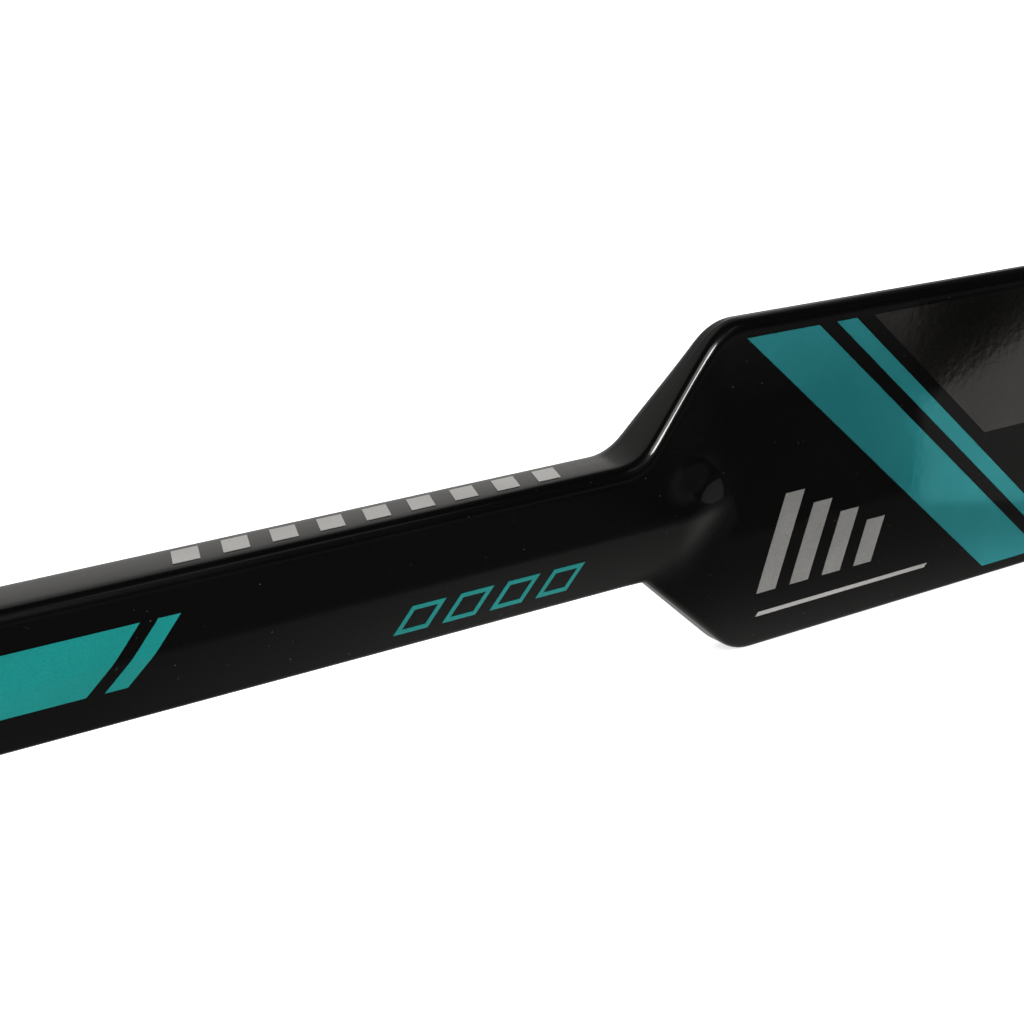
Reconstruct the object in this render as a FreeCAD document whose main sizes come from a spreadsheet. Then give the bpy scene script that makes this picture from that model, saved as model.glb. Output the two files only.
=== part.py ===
"""A goalie's hockey stick standing on its heel side edge.

X runs along the stick from the butt end (-X) to the heel (+X), Y across its thickness with the
forehand face at -Y, and Z up from the resting edge. The origin is the middle of the resting edge.
"""
import FreeCAD, Part
import math
import os
import re
import Sketcher
from FreeCAD import Placement, Rotation, Vector

# Driving dimensions in millimetres, with the lie in degrees
SIZES = [
    ("paddle_length", 640, "shoulder corner to heel corner, along the resting edge"),
    ("paddle_width", 88, "resting edge to toe side edge"),
    ("paddle_thickness", 8.5, "front face to back face"),
    ("paddle_edge_radius", 2.2, "round along the long edges of the shells"),
    ("paddle_rim", 5, "solid rim of a shell, across the width"),
    ("shell_wall", 1.4, "laminate over the cores of paddle and blade"),
    ("parting_offset", 1.5, "joint between the two shells, behind the middle plane"),
    ("shaft_length", 640, "mouth of the shaft to the neck joint"),
    ("shaft_width", 33, "across the shaft, in the plane of the paddle"),
    ("shaft_thickness", 16.5, "front face to back face of the shaft"),
    ("shaft_wall", 2, "wall of the shaft tube"),
    ("shaft_centre", 42.5, "height of the shaft's middle over the resting edge"),
    ("shaft_edge_radius", 3, "round along the two toe side edges"),
    ("facet_height", 16.5, "height of the two sloping facets on the heel side"),
    ("shaft_sole", 6, "flat between the two facets"),
    ("sole_radius", 3.4, "round between the flat and each facet"),
    ("knee_radius", 10, "round between a wide face and its facet"),
    ("neck_length", 44, "shoulder corner to neck joint"),
    ("toe_ramp_end", -5.5, "where the toe side ramp reaches the full width, from the shoulder"),
    ("toe_ramp_run", 26.1, "length of the toe side ramp"),
    ("heel_ramp_end", 1.7, "where the heel side ramp reaches the resting edge, from the shoulder"),
    ("heel_ramp_run", 30.1, "length of the heel side ramp"),
    ("valley_radius", 12.5, "hollow round where the toe side ramp leaves the shaft"),
    ("notch_radius", 3, "hollow round where the heel side ramp leaves the shaft"),
    ("crown_radius", 17, "round where a ramp meets the long edge"),
    ("blend_start", 30, "start of the thinning from shaft to paddle, before the shoulder"),
    ("blend_length", 33.5, "length of that thinning"),
    ("plug_cap", 5, "thickness of the plug's cap"),
    ("plug_stub", 28, "length of the plug inside the shaft"),
    ("plug_clearance", 0.3, "plug to tube wall"),
    ("plug_seat", 0.2, "plug cap to tube mouth"),
    ("plug_round", 2, "round on the plug's outer rim"),
    ("spigot_grip", 75, "length of the spigot inside the tube"),
    ("spigot_reach", 60, "end of the spigot's tongue, past the shoulder"),
    ("spigot_glue", 0.15, "glue line between spigot and tube"),
    ("tongue_height", 15, "height of the spigot's tongue and of the heel tenon"),
    ("tongue_lift", 3.5, "middle of tongue and tenon above the shaft's middle"),
    ("rib_thickness", 2, "stiffening ribs of the paddle"),
    ("hosel_length", 95, "heel corner back to the joint between paddle and blade"),
    ("tenon_reach", 70, "length of the heel tenon inside the paddle"),
    ("tenon_depth", 45, "length of the heel tenon inside the blade"),
    ("lie_angle", 63, "blade to shaft axis, in degrees"),
    ("blade_length", 385, "heel corner to toe, along the sole"),
    ("blade_height", 87, "sole to top edge"),
    ("blade_rail", 5, "width of the rail round the blade"),
    ("blade_rib", 3, "thickness of the blade's bridge"),
    ("blade_edge_radius", 1, "round along the edges of the blade skins"),
    ("blade_curve_start", 75, "heel corner to the start of the curve"),
    ("blade_curve_radius", 3600, "radius of the blade's middle surface"),
    ("heel_radius", 38, "round of the heel"),
    ("inner_radius", 32, "hollow round between paddle and blade"),
    ("toe_radius", 34, "rounds of the toe"),
    ("film_thickness", 0.12, "decoration films"),
    ("band_start", 226, "butt side end of the shaft's band, before the shoulder"),
    ("band_end", 166, "slanted end of the shaft's band at the knee, before the shoulder"),
    ("band_height", 7.5, "height of the shaft's band on each side of the knee"),
    ("band_slant", 6, "lean of the band's end over that height"),
    ("band_gap", 4, "gap between the band and the bar that follows it"),
    ("band_bar", 5, "length of that bar along the shaft"),
    ("tick_first", 150, "first silver tick on the toe side of the shaft, before the shoulder"),
    ("tick_pitch", 11.5, "spacing of those ticks"),
    ("tick_width", 6.2, "length of a tick along the shaft"),
    ("tick_height", 7, "length of a tick across the shaft"),
    ("tick_slant", 2.5, "lean of a tick"),
    ("lozenge_first", 99, "first outlined lozenge on the facet, before the shoulder"),
    ("lozenge_pitch", 13, "spacing of the lozenges"),
    ("lozenge_width", 9, "length of a lozenge along the shaft"),
    ("lozenge_height", 7.5, "height of a lozenge on the facet"),
    ("lozenge_slant", 4, "lean of a lozenge"),
    ("lozenge_line", 1.2, "line width of a lozenge"),
    ("lozenge_drop", 9, "middle of the lozenges below the knee, down the facet"),
    ("art_margin", 3.5, "long edge of the paddle to its decoration"),
    ("stripe_start", 4, "shoulder to the wide stripe's corner at the toe side edge"),
    ("stripe_width", 24, "width of the wide stripe along the paddle"),
    ("thin_stripe_width", 7, "width of the thin stripe along the paddle"),
    ("stripe_run", 92, "how far the stripes lean along the paddle"),
    ("stripe_gap", 6, "stripe to stripe, and stripe to foil panel, along the paddle"),
    ("panel_length", 150, "length of the foil panel along the toe side edge"),
    ("panel_depth", 40, "depth of the foil panel from its edge"),
    ("bar_first", 10, "shoulder to the first speed bar"),
    ("bar_pitch", 11.5, "spacing of the speed bars"),
    ("bar_width", 6.5, "length of a speed bar along the paddle"),
    ("bar_height", 26, "height of the first speed bar"),
    ("bar_step", 4.5, "each next speed bar is this much shorter"),
    ("bar_base", 15, "resting edge to the foot of the speed bars"),
    ("bar_slant", 9, "lean of a speed bar"),
    ("pinstripe_start", 10, "shoulder to the start of the pinstripe"),
    ("pinstripe_length", 62, "length of the pinstripe"),
    ("pinstripe_width", 1.1, "width of the pinstripe"),
    ("pinstripe_base", 8.5, "resting edge to the pinstripe"),
]
TICK_COUNT = 9
LOZENGE_COUNT = 4
BAR_COUNT = 4

os.makedirs("parts", exist_ok=True)
doc = FreeCAD.newDocument("goalie_stick")
sheet = doc.addObject("Spreadsheet::Sheet", "sizes")
for row, (name, value, meaning) in enumerate(SIZES, start=1):
    sheet.set(f"A{row}", name)
    sheet.set(f"B{row}", str(value))
    sheet.setAlias(f"B{row}", name)
    sheet.set(f"C{row}", meaning)
doc.recompute()
WORDS = {name for name, value, meaning in SIZES}


def bound(text):
    """An expression with every size word turned into its cell."""
    return re.sub(r"[a-z_]+", lambda m: "sizes." + m[0] if m[0] in WORDS else m[0], str(text))


def number(text):
    """The present value of such an expression."""
    value = sheet.evalExpression(bound(text))
    return float(getattr(value, "Value", value))


# Places that several pieces share
SHOULDER = "(-paddle_length / 2)"
HEEL = "(paddle_length / 2)"
NECK = f"({SHOULDER} - neck_length)"
MOUTH = f"({NECK} - shaft_length)"
SEAM = f"({HEEL} - hosel_length)"
SHAFT_TOP = "(shaft_centre + shaft_width / 2)"
SHAFT_BOTTOM = "(shaft_centre - shaft_width / 2)"
KNEE = f"({SHAFT_BOTTOM} + facet_height)"
TONGUE_TOP = "(shaft_centre + tongue_lift + tongue_height / 2)"
TONGUE_BOTTOM = "(shaft_centre + tongue_lift - tongue_height / 2)"
CORE_HALF = "(paddle_thickness / 2 - shell_wall)"
TOE_END = f"({SHOULDER} + toe_ramp_end)"
TOE_START = f"({TOE_END} - toe_ramp_run)"
HEEL_RAMP_END = f"({SHOULDER} + heel_ramp_end)"
HEEL_RAMP_START = f"({HEEL_RAMP_END} - heel_ramp_run)"
TOE_SLOPE = f"(toe_ramp_run / (paddle_width - {SHAFT_TOP}))"
BLEND = f"({SHOULDER} - blend_start)"
BLEND_END = f"({BLEND} + blend_length)"
HEEL_WALL = f"({BLEND_END} + paddle_rim / 2)"


def toe_cavity(height):
    """X of the cavity's toe side end wall at a height, one rim inside the ramp."""
    wall = f"paddle_rim * sqrt(1 + {TOE_SLOPE} ^ 2)"
    return f"({TOE_END} - (paddle_width - {height}) * {TOE_SLOPE} + {wall})"


# Building blocks
SUB_PARTS = []


def new_body(label, kept=True):
    body = doc.addObject("PartDesign::Body", label)
    body.Label = label
    body.AllowCompound = True
    if kept:
        SUB_PARTS.append(body)
    return body


def new_sketch(body, plane, lift="0"):
    """An empty sketch on one of the body's origin planes, lifted along the plane's normal."""
    sketch = body.newObject("Sketcher::SketchObject", body.Name + "_sketch")
    support = [item for item in body.Origin.OriginFeatures if item.Role == plane][0]
    sketch.AttachmentSupport = [(support, "")]
    sketch.MapMode = "FlatFace"
    sketch.setExpression("AttachmentOffset.Base.z", bound(lift))
    return sketch


def fix_point(sketch, geometry, end, place):
    """Hold a point of the sketch at a pair of expressions."""
    for kind, text in zip(("DistanceX", "DistanceY"), place):
        if text is None:
            continue
        index = sketch.addConstraint(Sketcher.Constraint(kind, -1, 1, geometry, end, number(text)))
        sketch.setExpression(f"Constraints[{index}]", bound(text))


def add_loop(sketch, corners):
    """A closed polygon whose corners are pairs of expressions."""
    first = sketch.GeometryCount
    count = len(corners)
    points = [Vector(number(across), number(along), 0) for across, along in corners]
    for index in range(count):
        sketch.addGeometry(Part.LineSegment(points[index], points[(index + 1) % count]))
    for index in range(count):
        following = first + (index + 1) % count
        sketch.addConstraint(Sketcher.Constraint("Coincident", first + index, 2, following, 1))
    for index, corner in enumerate(corners):
        fix_point(sketch, first + index, 1, corner)


def polygon(body, plane, corners, lift="0"):
    sketch = new_sketch(body, plane, lift)
    add_loop(sketch, corners)
    return sketch


def pad(body, sketch, length, reverse=False, both_ways=False):
    feature = body.newObject("PartDesign::Pad", body.Name + "_pad")
    feature.Profile = sketch
    feature.setExpression("Length", bound(length))
    feature.Reversed = reverse
    feature.Midplane = both_ways
    doc.recompute()
    return feature


def pocket(body, sketch, length=None, reverse=False):
    """Cut a sketch into the body: to a length, or right through both ways."""
    before = body.Shape.Volume
    feature = body.newObject("PartDesign::Pocket", body.Name + "_pocket")
    feature.Profile = sketch
    feature.Reversed = reverse
    if length is None:
        feature.Type = "ThroughAll"
        feature.Midplane = True
    else:
        feature.setExpression("Length", bound(length))
    doc.recompute()
    if body.Shape.Volume > before - 0.01:
        raise RuntimeError("a pocket cut nothing in " + body.Label)
    return feature


def round_edges(body, test, radius):
    """Fillet the edges of the body that pass the test."""
    base = body.Tip
    names = [f"Edge{index}" for index, edge in enumerate(base.Shape.Edges, start=1) if test(edge)]
    if not names:
        raise RuntimeError("no edge to round in " + body.Label)
    feature = body.newObject("PartDesign::Fillet", body.Name + "_round")
    feature.Base = (base, names)
    feature.setExpression("Radius", bound(radius))
    doc.recompute()
    return feature


def middle(edge):
    return edge.valueAt((edge.FirstParameter + edge.LastParameter) / 2)


def upright_at(place):
    """Test for a straight edge along the thickness at a corner of the outline."""
    across = number(place[0])
    height = number(place[1])

    def test(edge):
        spot = middle(edge)
        span = edge.BoundBox
        straight = span.XLength < 0.01 and span.ZLength < 0.01
        return straight and math.hypot(spot.x - across, spot.z - height) < 0.05
    return test


# Shaft
def shaft_section(inset="0"):
    """Five sided section with a flat toe side and two facets that narrow to the heel side."""
    half = f"(shaft_thickness / 2 - {inset})"
    lean = "((shaft_thickness - shaft_sole) / 2 / facet_height)"
    sole = f"(shaft_sole / 2 - {inset} * (sqrt(1 + {lean} ^ 2) - {lean}))"
    knee = f"({KNEE} - {inset} * (sqrt(1 + {lean} ^ 2) - 1) / {lean})"
    top = f"({SHAFT_TOP} - {inset})"
    bottom = f"({SHAFT_BOTTOM} + {inset})"
    right = [(half, top), (half, knee), (sole, bottom)]
    left = [("-" + across, height) for across, height in reversed(right)]
    return right + left


def along_shaft(height, half_width):
    """Test for the two lengthwise edges of the section at a height and a half width."""
    level = number(height)
    reach = number(half_width)

    def test(edge):
        spot = middle(edge)
        lengthwise = edge.BoundBox.XLength > 1
        return lengthwise and abs(spot.z - level) < 0.05 and abs(abs(spot.y) - reach) < 0.05
    return test


def round_section(body):
    round_edges(body, along_shaft(SHAFT_TOP, "shaft_thickness / 2"), "shaft_edge_radius")
    round_edges(body, along_shaft(KNEE, "shaft_thickness / 2"), "knee_radius")
    round_edges(body, along_shaft(SHAFT_BOTTOM, "shaft_sole / 2"), "sole_radius")


def make_shaft_tube():
    body = new_body("shaft_tube")
    pad(body, polygon(body, "YZ_Plane", shaft_section(), MOUTH), "shaft_length")
    round_section(body)
    pocket(body, polygon(body, "YZ_Plane", shaft_section("shaft_wall"), NECK), "shaft_length")


def make_end_plug():
    body = new_body("end_plug")
    seat = f"({MOUTH} - plug_seat)"
    pad(body, polygon(body, "YZ_Plane", shaft_section(), f"{seat} - plug_cap"), "plug_cap")
    round_section(body)
    outer = number(f"{seat} - plug_cap")
    round_edges(body, lambda edge: abs(middle(edge).x - outer) < 0.01, "plug_round")
    stub = shaft_section("(shaft_wall + plug_clearance)")
    pad(body, polygon(body, "YZ_Plane", stub, seat), "plug_stub")


def make_neck_spigot():
    """Glued into the tube at one end, with a flat tongue between the paddle's ribs at the other."""
    body = new_body("neck_spigot")
    section = shaft_section("(shaft_wall + spigot_glue)")
    pad(body, polygon(body, "YZ_Plane", section, f"{NECK} - spigot_grip"), "spigot_grip")
    reach = f"{SHOULDER} + spigot_reach"
    tongue = [(NECK, TONGUE_BOTTOM), (reach, TONGUE_BOTTOM), (reach, TONGUE_TOP), (NECK, TONGUE_TOP)]
    pad(body, polygon(body, "XZ_Plane", tongue), f"2 * {CORE_HALF}", both_ways=True)


# Paddle
OUTLINE = [
    (NECK, SHAFT_BOTTOM), (HEEL_RAMP_START, SHAFT_BOTTOM), (HEEL_RAMP_END, "0"), (SEAM, "0"),
    (SEAM, "paddle_width"), (TOE_END, "paddle_width"), (TOE_START, SHAFT_TOP), (NECK, SHAFT_TOP),
]
CAVITY = [
    (NECK, TONGUE_BOTTOM), (HEEL_WALL, TONGUE_BOTTOM), (HEEL_WALL, "paddle_rim"), (SEAM, "paddle_rim"),
    (SEAM, "paddle_width - paddle_rim"),
    (toe_cavity("(paddle_width - paddle_rim)"), "paddle_width - paddle_rim"),
    (toe_cavity(TONGUE_TOP), TONGUE_TOP), (NECK, TONGUE_TOP),
]


def make_paddle_shell(label, side):
    """Half of the paddle's outer laminate; side is -1 for the front half and 1 for the back."""
    body = new_body(label)
    back = side > 0
    joint = "parting_offset"
    depth = f"shaft_thickness / 2 - {side} * {joint}"
    pad(body, polygon(body, "XZ_Plane", OUTLINE, f"-{joint}"), depth, reverse=back)
    for corner, radius in ((1, "notch_radius"), (2, "crown_radius"),
                           (5, "crown_radius"), (6, "valley_radius")):
        round_edges(body, upright_at(OUTLINE[corner]), radius)

    face = f"({side} * paddle_thickness / 2)"
    shaft_face = f"({side} * shaft_thickness / 2)"
    outside = f"({side} * shaft_thickness)"
    thinning = [(BLEND, shaft_face), (BLEND_END, face), (f"{SEAM} + paddle_rim", face),
                (f"{SEAM} + paddle_rim", outside), (BLEND, outside)]
    pocket(body, polygon(body, "XY_Plane", thinning))
    cut_facet(body, side)
    round_outline(body, side)
    hollow = polygon(body, "XZ_Plane", CAVITY, f"-{joint}")
    pocket(body, hollow, f"{CORE_HALF} - {side} * {joint}", reverse=not back)


def cut_facet(body, side):
    """The shaft's facet runs on over the neck and sinks into a plate that grows to the paddle's face."""
    outside = f"({side} * shaft_thickness)"
    below = "-shaft_width"
    lean = "((shaft_thickness - shaft_sole) / 2 / facet_height)"

    def across(place, part):
        """Section of the cut at a place, with a part of the growth from shaft to paddle done."""
        face = f"(shaft_thickness / 2 - {part} * (shaft_thickness - paddle_thickness) / 2)"
        plate = f"(shaft_sole / 2 + {part} * (paddle_thickness - shaft_sole) / 2)"
        valley = f"({KNEE} - ({face} - {plate}) / {lean})"
        corners = [(f"{side} * {face}", KNEE), (f"{side} * {plate}", valley), (f"{side} * {plate}", below),
                   (outside, below), (outside, KNEE)]
        return polygon(body, "YZ_Plane", corners, place)
    first = across(NECK, 0)
    rest = [across(BLEND, 0), across(f"{BLEND} + 0.98 * blend_length", 0.98)]
    before = body.Shape.Volume
    feature = body.newObject("PartDesign::SubtractiveLoft", body.Name + "_facet")
    feature.Profile = first
    feature.Sections = rest
    feature.Ruled = True
    doc.recompute()
    if body.Shape.Volume > before - 0.01:
        raise RuntimeError("the facet cut nothing in " + body.Label)


def add_corner(sketch, face, level, side, inward):
    """A region outside a quarter round, where a face at one Y meets an edge at one Z."""
    radius = "paddle_edge_radius"
    front = f"{face} + {side} * {radius}"
    back = f"{face} - {side} * {radius}"
    inside = f"{level} + {inward} * {radius}"
    beyond = f"{level} - {inward} * {radius}"
    corners = [(face, inside), (front, inside), (front, beyond), (back, beyond), (back, level)]
    first = sketch.GeometryCount
    points = [Vector(number(across), number(height), 0) for across, height in corners]
    for index in range(4):
        sketch.addGeometry(Part.LineSegment(points[index], points[index + 1]))
    turn = math.pi / 2
    begin = {(1, 1): 3, (-1, 1): 2, (1, -1): 0, (-1, -1): 1}[side, inward] * turn
    circle = Part.Circle(Vector(number(back), number(inside), 0), Vector(0, 0, 1), number(radius))
    arc = sketch.addGeometry(Part.ArcOfCircle(circle, begin, begin + turn))
    for index in range(3):
        sketch.addConstraint(Sketcher.Constraint("Coincident", first + index, 2, first + index + 1, 1))
    for index, corner in enumerate(corners[:4]):
        fix_point(sketch, first + index, 1, corner)
    fix_point(sketch, first + 3, 2, corners[4])
    on_edge, on_face = (1, 2) if side * inward > 0 else (2, 1)
    sketch.addConstraint(Sketcher.Constraint("Coincident", first + 3, 2, arc, on_edge))
    sketch.addConstraint(Sketcher.Constraint("Coincident", first, 1, arc, on_face))
    index = sketch.addConstraint(Sketcher.Constraint("Radius", arc, number(radius)))
    sketch.setExpression(f"Constraints[{index}]", bound(radius))


def round_outline(body, side):
    """Round the two long outer edges of a shell, from behind the crowns to the joint with the blade."""
    start = f"({SHOULDER} + crown_radius / 2)"
    sketch = new_sketch(body, "YZ_Plane", start)
    face = f"({side} * paddle_thickness / 2)"
    add_corner(sketch, face, "0", side, 1)
    add_corner(sketch, face, "paddle_width", side, -1)
    pocket(body, sketch, f"{SEAM} - {start} + paddle_rim", reverse=True)


def fill(label, corners):
    """A slab that fills the cavity between the two shells over an outline."""
    body = new_body(label)
    pad(body, polygon(body, "XZ_Plane", corners), f"2 * {CORE_HALF}", both_ways=True)


def make_paddle_filling():
    rib_top = f"({TONGUE_TOP} + rib_thickness)"
    rib_bottom = f"({TONGUE_BOTTOM} - rib_thickness)"
    upper = "(paddle_width - paddle_rim)"
    toe = toe_cavity(rib_top)
    reach = f"{SHOULDER} + spigot_reach"
    tenon = f"{SEAM} - tenon_reach"
    fill("paddle_core_toe_side", [(toe, rib_top), (SEAM, rib_top), (SEAM, upper), (toe_cavity(upper), upper)])
    fill("paddle_rib_toe_side", [(toe, TONGUE_TOP), (SEAM, TONGUE_TOP), (SEAM, rib_top), (toe, rib_top)])
    fill("paddle_core_middle", [(reach, TONGUE_BOTTOM), (tenon, TONGUE_BOTTOM), (tenon, TONGUE_TOP),
                                (reach, TONGUE_TOP)])
    fill("paddle_rib_heel_side", [(HEEL_WALL, rib_bottom), (SEAM, rib_bottom), (SEAM, TONGUE_BOTTOM),
                                  (HEEL_WALL, TONGUE_BOTTOM)])
    fill("paddle_core_heel_side", [(HEEL_WALL, "paddle_rim"), (SEAM, "paddle_rim"), (SEAM, rib_bottom),
                                   (HEEL_WALL, rib_bottom)])
    end = f"{SEAM} + tenon_depth"
    fill("heel_tenon", [(tenon, TONGUE_BOTTOM), (end, TONGUE_BOTTOM), (end, TONGUE_TOP), (tenon, TONGUE_TOP)])


# Blade, drawn in its own frame: X along the sole from the heel, Z from the sole to the top edge
LIE_COS = "cos(lie_angle * 1 deg)"
LIE_SIN = "sin(lie_angle * 1 deg)"


def in_blade(run, rise):
    """Blade coordinates of a point given from the heel corner in the paddle's directions."""
    return f"({run}) * {LIE_COS} + ({rise}) * {LIE_SIN}", f"({rise}) * {LIE_COS} - ({run}) * {LIE_SIN}"


def under_paddle(height, level):
    """Blade X where a line at a blade height crosses a level of the paddle."""
    return f"(({level}) - ({height}) * {LIE_COS}) / {LIE_SIN}"


def blade_outline(inset="0"):
    """Joint, heel, toe and inner corner; inset keeps clear of every edge but the joint."""
    low = f"({inset})"
    high = f"(blade_height - {inset})"
    level = f"(paddle_width - {inset})"
    return [
        in_blade("-hosel_length", low), (under_paddle(low, low), low), (f"blade_length - {inset}", low),
        (f"blade_length - {inset}", high), (under_paddle(high, level), high), in_blade("-hosel_length", level),
    ]


def blade_body(label, corners, rounds, front, back, kept=True):
    """A piece of the blade between two offsets from its curved middle surface."""
    body = new_body(label, kept)
    body.Placement = Placement(Vector(number(HEEL), 0, 0), Rotation(Vector(0, -1, 0), number("lie_angle")))
    body.setExpression("Placement.Base.x", bound(HEEL))
    body.setExpression("Placement.Rotation.Angle", bound("lie_angle * 1 deg"))
    pad(body, polygon(body, "XZ_Plane", corners), "blade_height", both_ways=True)
    for corner, radius in zip(corners, rounds):
        if radius:
            round_edges(body, upright_at(corner), radius)
    pocket(body, curved_side(body, front, -1))
    pocket(body, curved_side(body, back, 1))
    return body


def curved_side(body, offset, side):
    """Sketch of all that lies outside one curved face of the blade."""
    sketch = new_sketch(body, "XY_Plane")
    start = "blade_curve_start"
    end = "blade_length + blade_height"
    radius = number(f"blade_curve_radius + {offset}")
    hub = Vector(number(start), -number("blade_curve_radius"), 0)
    angle = math.acos((number(end) - hub.x) / radius)
    tip = hub + Vector(math.cos(angle), math.sin(angle), 0) * radius
    left = "-blade_length"
    outside = f"{side} * blade_height"
    points = [(left, offset), (start, offset), (end, None), (end, outside), (left, outside)]
    spots = [Vector(number(across), tip.y if along is None else number(along), 0) for across, along in points]
    sketch.addGeometry(Part.LineSegment(spots[0], spots[1]))
    sketch.addGeometry(Part.ArcOfCircle(Part.Circle(hub, Vector(0, 0, 1), radius), angle, math.pi / 2))
    sketch.addGeometry(Part.LineSegment(spots[2], spots[3]))
    sketch.addGeometry(Part.LineSegment(spots[3], spots[4]))
    sketch.addGeometry(Part.LineSegment(spots[4], spots[0]))
    for one, one_end, two, two_end in ((0, 2, 1, 2), (1, 1, 2, 1), (2, 2, 3, 1), (3, 2, 4, 1), (4, 2, 0, 1)):
        sketch.addConstraint(Sketcher.Constraint("Coincident", one, one_end, two, two_end))
    fix_point(sketch, 0, 1, points[0])
    fix_point(sketch, 0, 2, points[1])
    fix_point(sketch, 1, 3, (start, "-blade_curve_radius"))
    fix_point(sketch, 2, 1, points[2])
    fix_point(sketch, 2, 2, points[3])
    fix_point(sketch, 3, 2, points[4])
    return sketch


INNER_HEEL = "heel_radius - blade_rail"
INNER_TOE = "toe_radius - blade_rail"
INNER_HOLLOW = "inner_radius + blade_rail"
BLADE_ROUNDS = (None, "heel_radius", "toe_radius", "toe_radius", "inner_radius", None)
INNER_ROUNDS = (None, INNER_HEEL, INNER_TOE, INNER_TOE, INNER_HOLLOW, None)


def make_blade_skin(label, side):
    face = f"({side} * paddle_thickness / 2)"
    inside = f"({side} * {CORE_HALF})"
    front, back = (face, inside) if side < 0 else (inside, face)
    blade_body(label, blade_outline(), BLADE_ROUNDS, front, back)


def make_blade_rail():
    """Solid rail round the heel, sole, toe and top edge, open at the joint with the paddle."""
    outer = blade_body("rail_outside", blade_outline(), BLADE_ROUNDS, f"-{CORE_HALF}", CORE_HALF, kept=False)
    thicker = "paddle_thickness"
    inner = blade_body("rail_inside", blade_outline("blade_rail"), INNER_ROUNDS, f"-{thicker}", thicker,
                       kept=False)
    rail = doc.addObject("Part::Cut", "blade_edge_rail")
    rail.Label = "blade_edge_rail"
    rail.Base = outer
    rail.Tool = inner
    SUB_PARTS.append(rail)


def make_blade_filling():
    """Two foam cores with a bridge between them along the blade's middle."""
    outline = blade_outline("blade_rail")
    under = "((blade_height - blade_rib) / 2)"
    over = "((blade_height + blade_rib) / 2)"
    heel_under = (under_paddle(under, "blade_rail"), under)
    heel_over = (under_paddle(over, "blade_rail"), over)
    toe = "blade_length - blade_rail"
    lower = [heel_under, outline[1], outline[2], (toe, under)]
    blade_body("blade_core_lower", lower, (None, INNER_HEEL, INNER_TOE, None), f"-{CORE_HALF}", CORE_HALF)
    bridge = [heel_over, heel_under, (toe, under), (toe, over)]
    blade_body("blade_bridge", bridge, (), f"-{CORE_HALF}", CORE_HALF)
    upper = [outline[0], heel_over, (toe, over), outline[3], outline[4], outline[5]]
    core = blade_body("blade_core_upper", upper, (None, None, None, INNER_TOE, INNER_HOLLOW, None),
                      f"-{CORE_HALF}", CORE_HALF)
    near = "-hosel_length"
    far = "tenon_depth - hosel_length"
    slot = [in_blade(near, TONGUE_BOTTOM), in_blade(far, TONGUE_BOTTOM), in_blade(far, TONGUE_TOP),
            in_blade(near, TONGUE_TOP)]
    pocket(core, polygon(core, "XZ_Plane", slot))


# Decoration films
def leaning(foot, base, width, height, slant):
    """Corners of an upright bar that leans along the stick by its slant."""
    top = f"({base}) + ({height})"
    return [(foot, base), (f"({foot}) + ({width})", base), (f"({foot}) + ({width}) + ({slant})", top),
            (f"({foot}) + ({slant})", top)]


def film(label, plane, lift, loops, reverse=False):
    """One film of several patches on a flat face."""
    body = new_body(label)
    sketch = new_sketch(body, plane, lift)
    for loop in loops:
        add_loop(sketch, loop)
    pad(body, sketch, "film_thickness", reverse)
    return body


def facet_sketch(body):
    """A sketch on the front facet, with its X along the knee and its Y up the facet."""
    sketch = new_sketch(body, "XZ_Plane", "shaft_thickness / 2")
    sketch.AttachmentOffset = Placement(Vector(), Rotation(Vector(1, 0, 0), 1))
    sketch.setExpression("AttachmentOffset.Base.y", bound(KNEE))
    sketch.setExpression("AttachmentOffset.Rotation.Angle",
                         bound("atan((shaft_thickness - shaft_sole) / 2 / facet_height)"))
    return sketch


def make_shaft_films():
    start = f"{SHOULDER} - band_start"
    end = f"{SHOULDER} - band_end"
    bar = f"{end} + band_gap"
    upper = [[(start, KNEE), (end, KNEE), (f"{end} + band_slant", f"{KNEE} + band_height"),
              (start, f"{KNEE} + band_height")],
             leaning(bar, KNEE, "band_bar", "band_height", "band_slant")]
    band = film("shaft_band_film", "XZ_Plane", "shaft_thickness / 2", upper)
    lower = facet_sketch(band)
    add_loop(lower, [(start, "-band_height"), (f"{end} - band_slant", "-band_height"), (end, "0"), (start, "0")])
    add_loop(lower, leaning(f"{bar} - band_slant", "-band_height", "band_bar", "band_height", "band_slant"))
    pad(band, lower, "film_thickness")

    ticks = []
    for index in range(TICK_COUNT):
        foot = f"{SHOULDER} - tick_first + {index} * tick_pitch"
        ticks.append(leaning(foot, "-tick_height / 2", "tick_width", "tick_height", "tick_slant"))
    film("shaft_tick_film", "XY_Plane", SHAFT_TOP, ticks)

    lozenges = new_body("shaft_lozenge_film")
    sketch = facet_sketch(lozenges)
    for index in range(LOZENGE_COUNT):
        foot = f"{SHOULDER} - lozenge_first + {index} * lozenge_pitch"
        base = "-lozenge_drop - lozenge_height / 2"
        add_loop(sketch, leaning(foot, base, "lozenge_width", "lozenge_height", "lozenge_slant"))
        lean = "lozenge_slant / lozenge_height"
        side = f"lozenge_line * sqrt(1 + ({lean}) ^ 2)"
        add_loop(sketch, leaning(f"{foot} + {side} + lozenge_line * {lean}", f"{base} + lozenge_line",
                                 f"lozenge_width - 2 * {side}", "lozenge_height - 2 * lozenge_line",
                                 f"(lozenge_height - 2 * lozenge_line) * {lean}"))
    pad(lozenges, sketch, "film_thickness")


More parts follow.
